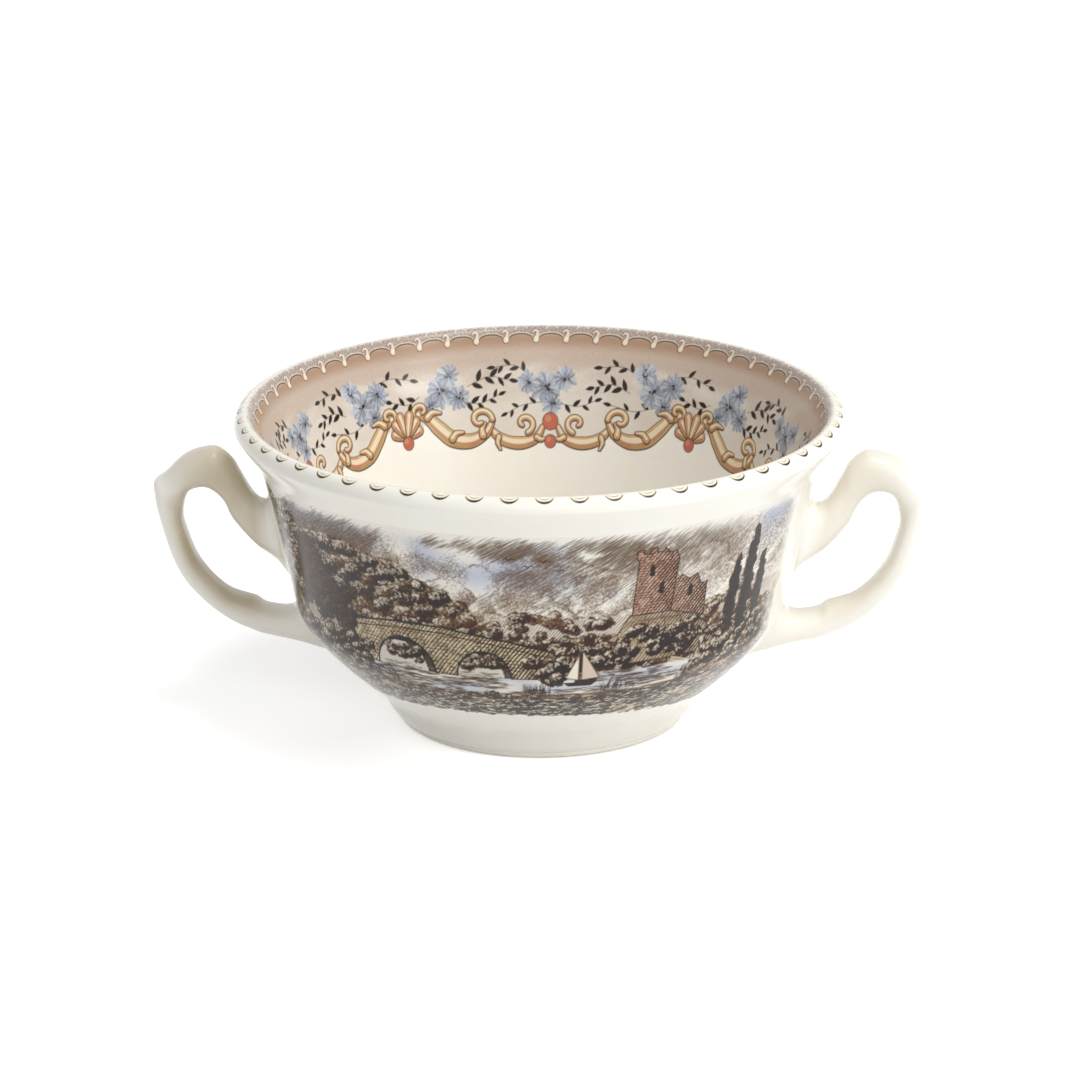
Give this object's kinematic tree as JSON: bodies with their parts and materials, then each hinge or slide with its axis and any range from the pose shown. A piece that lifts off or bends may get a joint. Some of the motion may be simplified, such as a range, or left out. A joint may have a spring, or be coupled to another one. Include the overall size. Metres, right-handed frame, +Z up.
{
  "type": "two-handled soup bowl",
  "caption": "Round footed soup bowl with a flared lip, two upright loop handles, a line-printed landscape outside and a floral scroll border inside.",
  "frame": {"origin": "middle of the foot's resting face, on the bowl's axis", "axes": "+Z up along the bowl's axis, +X through the right-hand handle, -Y towards the front scene"},
  "size_m": [0.153, 0.12, 0.0632],
  "materials": {
    "glazed_body": "clear gloss glaze over cream earthenware",
    "glazed_foot": "clear gloss glaze, wiped thin where the ring stands",
    "glazed_handles": "clear gloss glaze over cream earthenware",
    "glazed_slip": "fired slip under the clear glaze",
    "scene_print": "dark brown line print with tints under the clear glaze",
    "border_print": "many-coloured line print under the clear glaze",
    "edge_print": "many-coloured line print under the clear glaze"
  },
  "bodies": {
    "root": {"bowl_body": "glazed_body", "foot_ring": "glazed_foot", "left_handle": "glazed_handles", "right_handle": "glazed_handles", "left_upper_slip": "glazed_slip", "left_lower_slip": "glazed_slip", "right_upper_slip": "glazed_slip", "right_lower_slip": "glazed_slip", "front_scene_print": "scene_print", "back_scene_print": "scene_print", "inner_border_print": "border_print", "lip_edge_print": "edge_print"}
  },
  "joints": []
}
